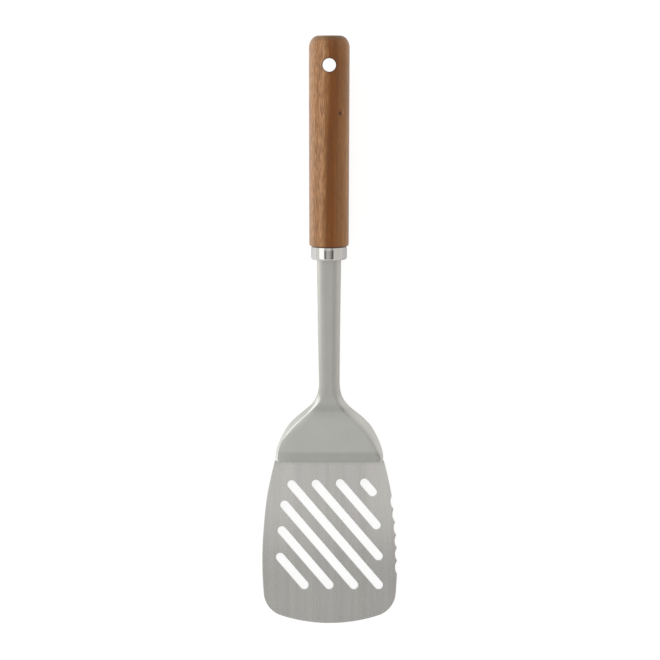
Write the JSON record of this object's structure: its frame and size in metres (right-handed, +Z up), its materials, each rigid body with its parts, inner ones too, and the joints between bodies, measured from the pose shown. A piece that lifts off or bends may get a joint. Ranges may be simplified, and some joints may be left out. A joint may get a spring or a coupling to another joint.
{
  "type": "slotted turner",
  "caption": "Slotted kitchen turner: brushed steel blade with diagonal slots and a scalloped side, flared satin neck, polished ferrule and round wooden handle with a hanging hole",
  "frame": {"origin": "centre of the bottom of the bounding box, on the table that the turner lies on", "axes": "+X across the blade towards its scalloped side, +Y from the blade's tip towards the handle's top, +Z up from the table, blade face up"},
  "size_m": [0.0818, 0.3504, 0.0347],
  "materials": {
    "handle_wood": "oiled acacia-like hardwood, straight grain along the handle",
    "ferrule_steel": "polished stainless steel",
    "neck_steel": "fine blasted satin stainless steel",
    "blade_steel": "stainless sheet brushed along the blade",
    "adhesive": "cured resin, hidden inside the handle"
  },
  "bodies": {
    "root": {"handle": "handle_wood", "ferrule": "ferrule_steel", "neck": "neck_steel", "blade": "blade_steel", "tang_adhesive": "adhesive"}
  },
  "joints": []
}
